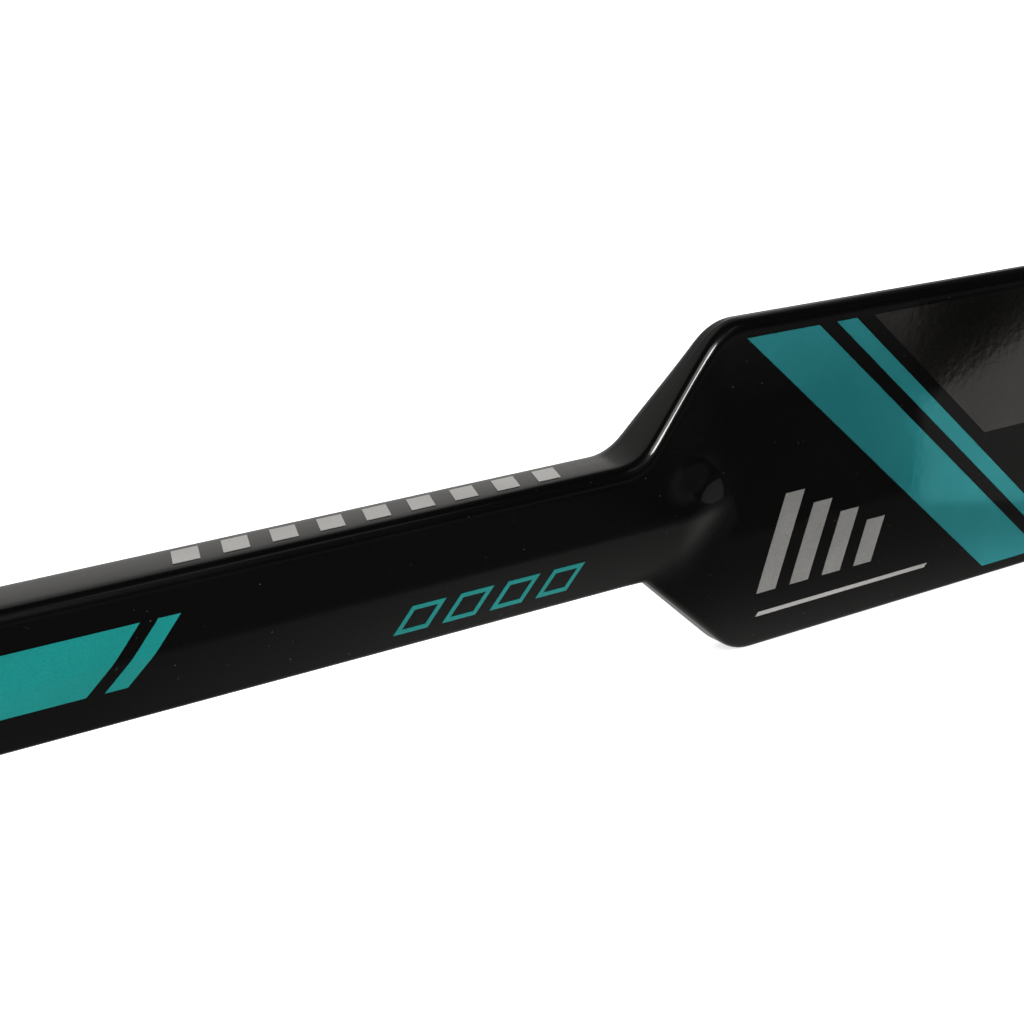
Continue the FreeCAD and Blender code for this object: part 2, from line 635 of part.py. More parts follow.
def make_paddle_films():
    face = "paddle_thickness / 2"
    top = "(paddle_width - art_margin)"
    lean = "stripe_run / (paddle_width - 2 * art_margin)"
    across = "paddle_width - 2 * art_margin"

    def stripe(start, width, depth):
        """A stripe that hangs from the toe side edge and leans towards the heel."""
        foot = f"{SHOULDER} + {start} + ({depth}) * {lean}"
        return leaning(foot, f"{top} - ({depth})", width, depth, f"-({depth}) * {lean}")
    stripes = [
        stripe("stripe_start", "stripe_width", across),
        stripe("stripe_start + stripe_width + stripe_gap", "thin_stripe_width", across)]
    film("paddle_stripe_film", "XZ_Plane", face, stripes)
    film("paddle_back_stripe_film", "XZ_Plane", f"-({face})", stripes, reverse=True)
    panel = "stripe_start + stripe_width + 2 * stripe_gap + thin_stripe_width"
    film("paddle_foil_panel", "XZ_Plane", face, [stripe(panel, "panel_length", "panel_depth")])

    bars = []
    for index in range(BAR_COUNT):
        height = f"(bar_height - {index} * bar_step)"
        foot = f"{SHOULDER} + bar_first + {index} * bar_pitch"
        bars.append(leaning(foot, "bar_base", "bar_width", height, f"bar_slant * {height} / bar_height"))
    film("paddle_bar_film", "XZ_Plane", face, bars)
    start = f"{SHOULDER} + pinstripe_start"
    film("paddle_pinstripe_film", "XZ_Plane", face, [
        leaning(start, "pinstripe_base", "pinstripe_length", "pinstripe_width", "pinstripe_width")])


def main():
    make_shaft_tube()
    make_end_plug()
    make_neck_spigot()
    make_paddle_shell("paddle_front_shell", -1)
    make_paddle_shell("paddle_back_shell", 1)
    make_paddle_filling()
    make_blade_skin("blade_front_skin", -1)
    make_blade_skin("blade_back_skin", 1)
    make_blade_rail()
    make_blade_filling()
    make_shaft_films()
    make_paddle_films()


main()
doc.recompute()
for item in doc.Objects:
    if "Invalid" in item.State or "Error" in item.State:
        raise RuntimeError(f"{item.Label} failed: {item.State}")
for body in SUB_PARTS:
    shape = body.Shape
    if shape.isNull() or not shape.isValid():
        raise RuntimeError(body.Label + " has no valid shape")
for body in SUB_PARTS:
    body.Shape.exportStep(f"parts/{body.Label}.step")
    print(body.Label, len(body.Shape.Solids), round(body.Shape.Volume / 1000, 2), "cm3")
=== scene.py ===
"""Looks of a goalie's hockey stick, standing on its heel side edge.

Lengths are millimetres on the stick: x from the shoulder corner towards the heel, y across the
thickness with the front face at -y, z up from the resting edge. stick() turns them into metres.
The stage, with its cards, lights and camera, is in metres in the frame of the CAD.
"""
import bmesh
import bpy
import math
from mathutils import Matrix, Vector


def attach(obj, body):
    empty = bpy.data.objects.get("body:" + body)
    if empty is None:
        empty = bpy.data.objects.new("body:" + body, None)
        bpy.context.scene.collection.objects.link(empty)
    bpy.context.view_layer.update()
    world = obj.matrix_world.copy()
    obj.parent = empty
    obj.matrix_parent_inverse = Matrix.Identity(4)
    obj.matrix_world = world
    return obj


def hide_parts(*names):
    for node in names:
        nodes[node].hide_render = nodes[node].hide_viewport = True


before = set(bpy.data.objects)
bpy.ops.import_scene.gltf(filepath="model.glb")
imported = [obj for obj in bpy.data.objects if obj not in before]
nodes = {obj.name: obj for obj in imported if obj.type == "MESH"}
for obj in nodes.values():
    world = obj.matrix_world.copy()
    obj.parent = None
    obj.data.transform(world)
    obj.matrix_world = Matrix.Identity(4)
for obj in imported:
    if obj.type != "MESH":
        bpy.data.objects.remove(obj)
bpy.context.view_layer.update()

scene = bpy.context.scene

# Places along the stick, and the shoulder corner's distance from the frame's origin
MOUTH = -684
NECK = -44
SEAM = 545
HEEL = 640
SHOULDER = 320

# Five sided shaft: its wide face turns into the facet at the knee
SHAFT_TOP = 59
SHAFT_SOLE = 26
KNEE = 42.5
SHAFT_HALF = 8.25
SOLE_HALF = 3
FACET_LEAN = (SHAFT_HALF - SOLE_HALF) / (KNEE - SHAFT_SOLE)

# Paddle, and the plane behind its middle where its two halves meet
PADDLE_HALF = 4.25
PADDLE_WIDTH = 88
PARTING = 1.5

# Corners of the two long sides, seen from the front: x, z and the round there
TOE_SIDE = (
    (-800, SHAFT_TOP, 0), (-30.9, SHAFT_TOP, 12.5), (-2.6, 89.1, 15),
    (160, 88.3, 0), (400, PADDLE_WIDTH, 0), (800, PADDLE_WIDTH, 0),
)
HEEL_SIDE = ((-800, SHAFT_SOLE, 0), (-25.5, SHAFT_SOLE, 3), (3.1, 0, 14), (800, 0, 0))

# Walls of the laminate, and the thickness of the film
SHAFT_WALL = 2
SHELL_WALL = 1.35
RAIL_WALL = 5
FILM = 0.08


def stick(x, y, z):
    """A point on the stick, in the frame's metres."""
    return Vector((x - SHOULDER, y, z)) / 1000


# Materials
def linear(text):
    """An sRGB hex colour as a linear one."""
    parts = [int(text[i:i + 2], 16) / 255 for i in (1, 3, 5)]
    return tuple(c / 12.92 if c < 0.04045 else ((c + 0.055) / 1.055) ** 2.4 for c in parts) + (1,)


def connect(tree, node, inputs):
    """Set a node's inputs, each to a value or to another node's output."""
    for socket, value in inputs.items():
        if isinstance(value, bpy.types.NodeSocket):
            tree.links.new(value, node.inputs[socket])
        else:
            node.inputs[socket].default_value = value


def add(tree, kind, inputs=None, **settings):
    """Add a node with its settings and inputs."""
    made = tree.nodes.new(kind)
    for key, value in settings.items():
        setattr(made, key, value)
    connect(tree, made, inputs or {})
    return made


def bare_material(name):
    """A material as Blender makes it, and its tree."""
    material = bpy.data.materials.new(name)
    material.use_nodes = True
    return material, material.node_tree


def new_material(name):
    """A Principled material with its tree, shader and Object coordinates."""
    material, tree = bare_material(name)
    shader = tree.nodes["Principled BSDF"]
    place = add(tree, "ShaderNodeTexCoord").outputs["Object"]
    return material, tree, shader, place


def per_metre(size_mm):
    """Texture scale for a pattern that repeats at a size in millimetres."""
    return 1000 / size_mm


def clear_coated_laminate():
    """Black pigmented fibre laminate, sanded and sprayed with gloss clear coat.

    To the eye: deep black with sharp reflections, a slight orange peel that frays their edges,
    and grains of dust and fibres of lint that the coat picked up.
    """
    material, tree, shader, place = new_material("clear_coated_black_laminate")
    # Orange peel waves are about 3 mm apart
    peel = add(tree, "ShaderNodeTexNoise", {
        "Vector": place, "Scale": per_metre(3), "Detail": 2.0, "Roughness": 0.5,
    })
    waves = add(tree, "ShaderNodeBump", {
        "Height": peel.outputs["Fac"], "Strength": 0.12, "Distance": 0.0001,
    })
    # Dust grains are 0.1 to 0.2 mm, one in a cell at most, drawn 0.24 mm so that they show
    cell = 2.5
    grain_width = 0.24
    cells = add(tree, "ShaderNodeTexVoronoi", {"Vector": place, "Scale": per_metre(cell)})
    chance = add(tree, "ShaderNodeSeparateColor", {"Color": cells.outputs["Color"]})
    grain = add(tree, "ShaderNodeMath", {
        0: cells.outputs["Distance"], 1: grain_width / 2 / cell,
    }, operation="LESS_THAN")
    some = add(tree, "ShaderNodeMapRange", {
        "Value": chance.outputs[0], "From Min": 0.45, "From Max": 1.0, "To Min": 0, "To Max": 0.7,
    })
    dust = add(tree, "ShaderNodeMath", {
        0: grain.outputs[0], 1: some.outputs["Result"],
    }, operation="MULTIPLY")
    # Fibres of lint are 0.05 mm thick and 2 mm long, drawn 0.15 mm thick so that they show
    fibre_width = 0.15
    fibre_stretch = (12, 2, 1)
    for lie in ((0.2, 0.6, 0), (0.1, -1.1, 0)):
        laid = add(tree, "ShaderNodeMapping", {
            "Vector": place, "Rotation": lie, "Scale": fibre_stretch,
        }, vector_type="TEXTURE")
        lint = add(tree, "ShaderNodeTexVoronoi", {
            "Vector": laid.outputs["Vector"], "Scale": per_metre(cell),
        })
        thin = add(tree, "ShaderNodeMath", {
            0: lint.outputs["Distance"], 1: fibre_width / 2 / cell,
        }, operation="LESS_THAN")
        faint = add(tree, "ShaderNodeSeparateColor", {"Color": lint.outputs["Color"]})
        fibre = add(tree, "ShaderNodeMath", {
            0: thin.outputs[0], 1: faint.outputs[0],
        }, operation="MULTIPLY")
        pale = add(tree, "ShaderNodeMapRange", {"Value": fibre.outputs[0], "To Max": 0.3})
        dust = add(tree, "ShaderNodeMath", {
            0: dust.outputs[0], 1: pale.outputs["Result"],
        }, operation="MAXIMUM")
    # The black pigment is cloudy over about 40 mm
    cloud = add(tree, "ShaderNodeTexNoise", {
        "Vector": place, "Scale": per_metre(40), "Detail": 3.0,
    })
    black = add(tree, "ShaderNodeMix", {
        "Factor": cloud.outputs["Fac"], "A": linear("#020202"), "B": linear("#040404"),
    }, data_type="RGBA")
    colour = add(tree, "ShaderNodeMix", {
        "Factor": dust.outputs[0], "A": black.outputs["Result"], "B": linear("#6E6B66"),
    }, data_type="RGBA")
    satin = add(tree, "ShaderNodeMapRange", {
        "Value": cloud.outputs["Fac"], "To Min": 0.3, "To Max": 0.42,
    })
    connect(tree, shader, {
        "Base Color": colour.outputs["Result"], "Roughness": satin.outputs["Result"],
        "Normal": waves.outputs["Normal"], "Coat Normal": waves.outputs["Normal"],
        "IOR": 1.5, "Specular IOR Level": 0.12,
        "Coat Weight": 1.0, "Coat Roughness": 0.03, "Coat IOR": 1.5,
    })
    return material


def metallised_film(name, light, deep, metallic, roughness, peel_strength):
    """Vacuum metallised film, dyed, and laid under the clear coat.

    To the eye: a lustre that follows the light, a fine flake grain and rippled reflections.
    """
    material, tree, shader, place = new_material(name)
    # Flakes are 0.05 mm, drawn 0.3 mm so that they show, and the dye drifts over about 30 mm
    flake = add(tree, "ShaderNodeTexNoise", {
        "Vector": place, "Scale": per_metre(0.3), "Detail": 1.0,
    })
    drift = add(tree, "ShaderNodeTexNoise", {
        "Vector": place, "Scale": per_metre(30), "Detail": 2.0,
    })
    both = add(tree, "ShaderNodeMath", {
        0: flake.outputs["Fac"], 1: drift.outputs["Fac"],
    }, operation="MULTIPLY")
    level = add(tree, "ShaderNodeMapRange", {
        "Value": both.outputs[0], "From Min": 0.12, "From Max": 0.4,
    })
    colour = add(tree, "ShaderNodeMix", {
        "Factor": level.outputs["Result"], "A": linear(deep), "B": linear(light),
    }, data_type="RGBA")
    grain = add(tree, "ShaderNodeMapRange", {
        "Value": flake.outputs["Fac"], "To Min": roughness - 0.05, "To Max": roughness + 0.05,
    })
    # Orange peel waves are about 2.5 mm apart
    peel = add(tree, "ShaderNodeTexNoise", {
        "Vector": place, "Scale": per_metre(2.5), "Detail": 2.0,
    })
    waves = add(tree, "ShaderNodeBump", {
        "Height": peel.outputs["Fac"], "Strength": peel_strength, "Distance": 0.0001,
    })
    connect(tree, shader, {
        "Base Color": colour.outputs["Result"], "Roughness": grain.outputs["Result"],
        "Normal": waves.outputs["Normal"], "Coat Normal": waves.outputs["Normal"],
        "Metallic": metallic, "Coat Weight": 1.0, "Coat Roughness": 0.03, "Coat IOR": 1.5,
    })
    return material


def moulded_rubber():
    """Thermoplastic rubber, moulded in a spark eroded tool.

    To the eye: matt charcoal with a fine even grain that catches the light at the rims.
    """
    material, tree, shader, place = new_material("moulded_rubber")
    # Spark grain is 0.3 mm, drawn 0.6 mm so that it shows
    grain = add(tree, "ShaderNodeTexNoise", {
        "Vector": place, "Scale": per_metre(0.6), "Detail": 3.0,
    })
    bump = add(tree, "ShaderNodeBump", {
        "Height": grain.outputs["Fac"], "Strength": 0.35, "Distance": 0.0001,
    })
    # Scuffs from the hand are about 9 mm
    scuff = add(tree, "ShaderNodeTexNoise", {
        "Vector": place, "Scale": per_metre(9), "Detail": 4.0,
    })
    colour = add(tree, "ShaderNodeMix", {
        "Factor": scuff.outputs["Fac"], "A": linear("#1B1B1C"), "B": linear("#2C2C2D"),
    }, data_type="RGBA")
    rough = add(tree, "ShaderNodeMapRange", {
        "Value": scuff.outputs["Fac"], "To Min": 0.6, "To Max": 0.8,
    })
    connect(tree, shader, {
        "Base Color": colour.outputs["Result"], "Roughness": rough.outputs["Result"],
        "Normal": bump.outputs["Normal"], "IOR": 1.5,
    })
    return material


def closed_cell_foam():
    """Cross-linked foam, sawn from a block.

    To the eye: pale, matt, with open cell walls on the sawn faces.
    """
    material, tree, shader, place = new_material("closed_cell_foam")
    # Cells are 0.8 mm
    cells = add(tree, "ShaderNodeTexVoronoi", {"Vector": place, "Scale": per_metre(0.8)})
    colour = add(tree, "ShaderNodeMix", {
        "Factor": cells.outputs["Distance"], "A": linear("#D8D2BE"), "B": linear("#EFEADB"),
    }, data_type="RGBA")
    bump = add(tree, "ShaderNodeBump", {
        "Height": cells.outputs["Distance"], "Strength": 0.5, "Distance": 0.0003,
    })
    connect(tree, shader, {
        "Base Color": colour.outputs["Result"], "Normal": bump.outputs["Normal"],
        "Roughness": 0.9, "IOR": 1.45,
    })
    return material


def sawn_beech():
    """Beech, sawn along the grain and sanded.

    To the eye: warm tan with growth bands along the stick and short dark ray flecks.
    """
    material, tree, shader, place = new_material("sawn_beech")
    # Growth bands are 3 mm apart, flecks 0.4 mm wide, and both are drawn out along the grain
    along = add(tree, "ShaderNodeMapping", {"Vector": place, "Scale": (0.06, 1, 1)})
    bands = add(tree, "ShaderNodeTexNoise", {
        "Vector": along.outputs["Vector"], "Scale": per_metre(3), "Detail": 3.0, "Distortion": 0.6,
    })
    fleck = add(tree, "ShaderNodeTexNoise", {
        "Vector": along.outputs["Vector"], "Scale": per_metre(0.4),
    })
    warm = add(tree, "ShaderNodeMix", {
        "Factor": bands.outputs["Fac"], "A": linear("#B98A5A"), "B": linear("#D9B384"),
    }, data_type="RGBA")
    dark = add(tree, "ShaderNodeMapRange", {
        "Value": fleck.outputs["Fac"], "From Min": 0.62, "From Max": 0.75, "To Max": 0.5,
    })
    colour = add(tree, "ShaderNodeMix", {
        "Factor": dark.outputs["Result"], "A": warm.outputs["Result"], "B": linear("#8A5F38"),
    }, data_type="RGBA")
    bump = add(tree, "ShaderNodeBump", {
        "Height": fleck.outputs["Fac"], "Strength": 0.2, "Distance": 0.0002,
    })
    connect(tree, shader, {
        "Base Color": colour.outputs["Result"], "Normal": bump.outputs["Normal"],
        "Roughness": 0.6, "IOR": 1.5,
    })
    return material


def woven_laminate():
    """Carbon fibre laminate as it leaves the press.

    To the eye: dark grey plain weave with a dull resin shine.
    """
    material, tree, shader, place = new_material("woven_carbon_laminate")
    # Tows are 2 mm wide, with fibre streaks of 0.5 mm
    weave = add(tree, "ShaderNodeTexChecker", {
        "Vector": place, "Scale": per_metre(2),
        "Color1": linear("#1A1A1C"), "Color2": linear("#2B2B2E"),
    })
    fibre = add(tree, "ShaderNodeTexNoise", {
        "Vector": place, "Scale": per_metre(0.5), "Detail": 2.0,
    })
    rough = add(tree, "ShaderNodeMapRange", {
        "Value": fibre.outputs["Fac"], "To Min": 0.35, "To Max": 0.55,
    })
    bump = add(tree, "ShaderNodeBump", {
        "Height": weave.outputs["Fac"], "Strength": 0.2, "Distance": 0.0001,
    })
    connect(tree, shader, {
        "Base Color": weave.outputs["Color"], "Roughness": rough.outputs["Result"],
        "Normal": bump.outputs["Normal"], "IOR": 1.5,
    })
    return material


COAT = clear_coated_laminate()
TEAL = metallised_film("teal_pearl_film", "#00938E", "#00807B",
                       metallic=0.35, roughness=0.35, peel_strength=0.12)
MIRROR_TEAL = metallised_film("teal_mirror_film", "#58F0F8", "#48DAE2",
                              metallic=0.9, roughness=0.13, peel_strength=0.22)
SILVER = metallised_film("silver_metallised_film", "#C6C4C1", "#A9A7A4",
                         metallic=0.45, roughness=0.35, peel_strength=0.12)
DULL_SILVER = metallised_film("dull_silver_metallised_film", "#C6C4C1", "#A9A7A4",
                              metallic=0.75, roughness=0.35, peel_strength=0.12)
FOIL = metallised_film("dark_mirror_foil", "#969492", "#82807E",
                       metallic=1.0, roughness=0.12, peel_strength=0.25)
RUBBER = moulded_rubber()
FOAM = closed_cell_foam()
BEECH = sawn_beech()
WEAVE = woven_laminate()

# CAD nodes whose shape stays
INSIDE = {
    "neck_spigot": BEECH, "heel_tenon": BEECH, "blade_bridge": WEAVE,
    "paddle_rib_toe_side": WEAVE, "paddle_rib_heel_side": WEAVE,
    "paddle_core_toe_side": FOAM, "paddle_core_middle": FOAM, "paddle_core_heel_side": FOAM,
    "blade_core_lower": FOAM, "blade_core_upper": FOAM,
}
FILMS = {
    "shaft_tick_film": SILVER, "shaft_lozenge_film": TEAL, "paddle_stripe_film": MIRROR_TEAL,
    "paddle_back_stripe_film": MIRROR_TEAL, "paddle_foil_panel": FOIL,
    "paddle_bar_film": DULL_SILVER, "paddle_pinstripe_film": SILVER,
}
for name, material in {**INSIDE, **FILMS}.items():
    for slot in nodes[name].material_slots:
        slot.material = material


# Steps that several pieces share
X, Y, Z = range(3)


def verts_in(geometry):
    """The vertices in what an operator made."""
    return [item for item in geometry if isinstance(item, bmesh.types.BMVert)]


def cut(bm, near, point, normal, **cleared):
    """Cut a bmesh along a plane; points nearer than near count as on it, and a cleared side goes."""
    everything = bm.verts[:] + bm.edges[:] + bm.faces[:]
    bmesh.ops.bisect_plane(bm, geom=everything, dist=near, plane_co=point, plane_no=normal, **cleared)


def bevel(bm, geometry, reach, segments, affect, clamp_overlap=False):
    """Round some corners or edges."""
    bmesh.ops.bevel(bm, geom=geometry, offset=reach, offset_type="OFFSET", segments=segments,
                    profile=0.5, affect=affect, material=-1, clamp_overlap=clamp_overlap)


def face_outwards(bm, axis, side):
    """Make the normals of an open skin agree, so that its outermost face on one side looks out."""
    bmesh.ops.recalc_face_normals(bm, faces=bm.faces)
    outermost = max(bm.faces, key=lambda face: side * face.calc_center_median()[axis])
    if side * outermost.normal[axis] < 0:
        bmesh.ops.reverse_faces(bm, faces=bm.faces)


def keep_rims_sharp(bm):
    """Keep the open edges of a skin sharp."""
    for edge in bm.edges:
        if edge.is_boundary:
            edge.smooth = False


def sharpen(bm, angle):
    """Keep rims sharp, and edges that turn by more than an angle in degrees."""
    for edge in bm.edges:
        if edge.is_boundary or edge.calc_face_angle(0) > math.radians(angle):
            edge.smooth = False


def to_metres(bm, shift):
    """Shift a bmesh along the stick and turn its millimetres into metres."""
    bmesh.ops.translate(bm, vec=(shift, 0, 0), verts=bm.verts)
    bmesh.ops.scale(bm, vec=(0.001, 0.001, 0.001), verts=bm.verts)


def piece(bm, name, material, node, body="stick"):
    """Turn a bmesh into a smooth shaded piece that stands for a CAD node."""
    mesh = bpy.data.meshes.new(name)
    bm.to_mesh(mesh)
    bm.free()
    for face in mesh.polygons:
        face.use_smooth = True
    mesh.materials.append(material)
    made = bpy.data.objects.new(name, mesh)
    scene.collection.objects.link(made)
    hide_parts(node)
    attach(made, body)
    return made


def thicken(made, thickness):
    """Give an open skin a wall behind it."""
    wall = made.modifiers.new("wall", "SOLIDIFY")
    wall.thickness = thickness / 1000
    wall.offset = -1


def smooth_and_thicken(made, thickness):
    """Finish an open skin: a smooth surface with a laminate wall behind it."""
    smooth = made.modifiers.new("smooth", "SUBSURF")
    smooth.levels = 2
    smooth.render_levels = 2
    smooth.boundary_smooth = "PRESERVE_CORNERS"
    thicken(made, thickness)


# Shaft, shoulder and paddle
# Stretches of x over which one form runs into the next, up to the blade's joint, where edges sharpen
NOSE_RUN = (-18, 5)
FLANK_RUN = (-34, -2)
PLATE_START = (-36, -29)
PLATE_RUN = (-31, -1)
CREASE_RUN = (-26, -8)
EDGE_RUN = (-34, -4)
FOOT_RUN = (-32, -10)
SQUARE_RUN = (440, SEAM)
# Heights over which the short nose gives way to the longer flank
FLANK_HEIGHTS = (KNEE + 1, KNEE + 17)
# Width of the soft crease between facet and plate, and what the shoulder adds
CREASE = 0.8
CREASE_GAIN = 1.2
# Rounds of the long edges: on the shaft, what the shoulder adds and what the blade's joint adds
ACROSS_ROUND = (3, -0.1, -1.7)
EDGE_ROUND = (3, -0.5, -1.3)
FOOT_ROUND = (1, 0.3, -0.3)
# Shares of a round, from its corner, at which a subdivided edge has its control points
ROUND_END = 1.42
ROUND_MIDDLE = 0.58
# Drop of the crowned toe side at the end and at the middle of its round
CROWN_END = 0.08
CROWN_MIDDLE = 0.2
# Control points down the wide face and down the facet, and the gap between them at the knee
FACE_STEPS = 8
FACET_STEPS = 12
KNEE_GAP = 2.4
# Stations of the sections, close together where the form changes
SHAFT_STATIONS = [MOUTH, -676, -400, -120, -60, -50, -47, NECK]
SHOULDER_STATIONS = [NECK + 1.5 * step for step in range(38)]
PADDLE_STATIONS = [14, 18, 26, 60, 250, 430, 470, 505, 530, 540, SEAM]


def rise(x, start, end):
    """0 before start and 1 after end, with a smooth step between them."""
    part = min(max((x - start) / (end - start), 0), 1)
    return part * part * (3 - 2 * part)


def side_height(path, x):
    """Height of a side of the stick at x, and how much its slope stretches a section there."""
    for (ax, az, unused), (bx, bz, radius), (cx, cz, unused) in zip(path, path[1:], path[2:]):
        into = math.atan2(bz - az, bx - ax)
        out = math.atan2(cz - bz, cx - bx)
        reach = radius * math.tan(abs(out - into) / 2)
        start = bx - reach * math.cos(into)
        if start < x < bx + reach * math.cos(out):
            turn = math.copysign(1, out - into)
            hub_x = start - turn * radius * math.sin(into)
            hub_z = bz - reach * math.sin(into) + turn * radius * math.cos(into)
            drop = math.sqrt(radius ** 2 - (x - hub_x) ** 2)
            return hub_z - turn * drop, radius / drop
    for (ax, az, unused), (bx, bz, unused) in zip(path, path[1:]):
        if x <= bx:
            slope = (bz - az) / (bx - ax)
            return az + slope * (x - ax), math.hypot(1, slope)


def face_half(x, z):
    """Middle plane to the wide face: a short nose at the knee, and a longer flank above it."""
    upper = rise(z, *FLANK_HEIGHTS)
    nose = rise(x, *NOSE_RUN)
    flank = rise(x, *FLANK_RUN)
    return SHAFT_HALF - (SHAFT_HALF - PADDLE_HALF) * (nose + (flank - nose) * upper)


def half_thickness(x, z):
    """Middle plane to the front: wide face, facet, and the plate that the facet runs out on."""
    face = face_half(x, max(z, KNEE))
    facet = face - FACET_LEAN * max(KNEE - z, 0)
    plate = SOLE_HALF * rise(x, *PLATE_START) + (PADDLE_HALF - SOLE_HALF) * rise(x, *PLATE_RUN)
    crease = CREASE + CREASE_GAIN * rise(x, *CREASE_RUN)
    overlap = max(crease - abs(facet - plate), 0) / crease
    return min(max(facet, plate) + overlap * overlap * crease / 4, face)


def round_at(sizes, shoulder, joint):
    """Round of a long edge, by how far the shoulder and the blade's joint have come in."""
    shaft_size, shoulder_change, joint_change = sizes
    return shaft_size + shoulder_change * shoulder + joint_change * joint


def section(x):
    """Control points (y, z) of half a section, from the toe side's middle to the heel side's."""
    top, top_stretch = side_height(TOE_SIDE, x)
    bottom, bottom_stretch = side_height(HEEL_SIDE, x)
    face = half_thickness(x, top)
    sole = half_thickness(x, bottom)
    square = rise(x, *SQUARE_RUN)
    across = round_at(ACROSS_ROUND, rise(x, *EDGE_RUN), square)
    edge = round_at(EDGE_ROUND, rise(x, *EDGE_RUN), square)
    foot = round_at(FOOT_ROUND, rise(x, *FOOT_RUN), square)
    upper = top - ROUND_END * edge * top_stretch
    lower = bottom + ROUND_END * foot * bottom_stretch
    face_drop = KNEE + KNEE_GAP - upper
    heights = [upper + face_drop * step / FACE_STEPS for step in range(FACE_STEPS + 1)]
    heights += [KNEE + (lower - KNEE) * step / FACET_STEPS for step in range(FACET_STEPS + 1)]
    heights.append(bottom + ROUND_MIDDLE * foot * bottom_stretch)
    return [
        (0, top),
        (face - ROUND_END * across, top - CROWN_END),
        (face - ROUND_MIDDLE * across, top - CROWN_MIDDLE),
        (face, top - ROUND_MIDDLE * edge * top_stretch),
        *((half_thickness(x, height), height) for height in heights),
        (sole - ROUND_MIDDLE * foot, bottom),
        (sole - ROUND_END * foot, bottom),
        (0, bottom),
    ]


def skin(stations):
    """Open tube through the sections at some stations, with its front face at -y."""
    bm = bmesh.new()
    loops = []
    for x in stations:
        half = section(x)
        around = [(-y, z) for y, z in half] + half[-2:0:-1]
        ring = [bm.verts.new(stick(x, y, z)) for y, z in around]
        loops.append([bm.edges.new(pair) for pair in zip(ring, ring[1:] + ring[:1])])
    for one, other in zip(loops, loops[1:]):
        bmesh.ops.bridge_loops(bm, edges=one + other)
    face_outwards(bm, Z, 1)
    return bm


def make_shaft():
    """Hollow shaft from its mouth to the neck."""
    bm = skin(SHAFT_STATIONS)
    keep_rims_sharp(bm)
    made = piece(bm, "shaft_tube_coated", COAT, "shaft_tube")
    smooth_and_thicken(made, SHAFT_WALL)
    return made


def make_paddle_half(name, node, front):
    """Half of the paddle with shoulder and neck, cut at the parting plane."""
    bm = skin(SHOULDER_STATIONS + PADDLE_STATIONS)
    cut(bm, near=1e-7, point=(0, PARTING / 1000, 0), normal=(0, 1, 0),
        clear_outer=front, clear_inner=not front)
    keep_rims_sharp(bm)
    smooth_and_thicken(piece(bm, name, COAT, node), SHELL_WALL)


# Blade, in its own directions: along the sole from the heel, across its thickness, up from the sole
LIE = math.radians(63)
BLADE_LENGTH = 385
BLADE_HEIGHT = 87
HEEL_ROUND = 38
TOE_ROUND = 34
HOLLOW_ROUND = 32
CORE_HALF = 2.85
# The curve is an arc towards the front, and the blade is cut into slices to follow it
CURVE_START = 75
CURVE_RADIUS = 3600
FIRST_SLICE = -36
SLICE = 12
# Round of the skins' outer rim, and the turn in radians that tells the rim from the face's own edges
RIM_ROUND = 1.15
RIM_TURN = 1
BLADE_SHARP_ANGLE = 40
# Points this near to the joint count as on it
JOINT_NEAR = 0.01


def in_blade(run, level):
    """Blade coordinates of a point given from the heel corner in the paddle's directions."""
    along = run * math.cos(LIE) + level * math.sin(LIE)
    height = level * math.cos(LIE) - run * math.sin(LIE)
    return along, height


def blade_outline(bm, depth):
    """Edges of the blade's outline from the joint round heel and toe to the joint again."""
    hollow = (PADDLE_WIDTH - BLADE_HEIGHT * math.cos(LIE)) / math.sin(LIE)
    corners = [
        in_blade(SEAM - HEEL, 0), (0, 0), (BLADE_LENGTH, 0), (BLADE_LENGTH, BLADE_HEIGHT),
        (hollow, BLADE_HEIGHT), in_blade(SEAM - HEEL, PADDLE_WIDTH),
    ]
    verts = [bm.verts.new((along, depth, height)) for along, height in corners]
    for pair in zip(verts, verts[1:] + verts[:1]):
        bm.edges.new(pair)
    return verts


def round_corners(bm, verts):
    """Round heel, toe and the hollow corner at the paddle."""
    unused, heel, low_toe, high_toe, hollow, unused = verts
    half_turn = math.tan(LIE / 2)
    for corner, reach in ((heel, HEEL_ROUND * half_turn), (low_toe, TOE_ROUND),
                          (high_toe, TOE_ROUND), (hollow, HOLLOW_ROUND * half_turn)):
        bevel(bm, [corner], reach, segments=12, affect="VERTICES")


def slice_for_curve(bm):
    """Cut the blade across at even steps, so that it can follow the curve."""
    for along in range(FIRST_SLICE, BLADE_LENGTH, SLICE):
        cut(bm, near=1e-4, point=(along, 0, 0), normal=(1, 0, 0))


def curve_and_place(bm):
    """Bend the blade towards the front along a circle and set it at the lie angle on the heel."""
    for vert in bm.verts:
        past = vert.co.x - CURVE_START
        if past > 0:
            vert.co.y -= CURVE_RADIUS - math.sqrt(CURVE_RADIUS ** 2 - past ** 2)
    turn = Matrix.Rotation(-LIE, 4, "Y")
    bmesh.ops.transform(bm, matrix=turn, verts=bm.verts)
    to_metres(bm, HEEL - SHOULDER)


def on_joint(edge):
    """Whether an edge of the blade lies on the joint with the paddle."""
    runs = [vert.co.x * math.cos(LIE) - vert.co.z * math.sin(LIE) for vert in edge.verts]
    return max(runs) < SEAM - HEEL + JOINT_NEAR


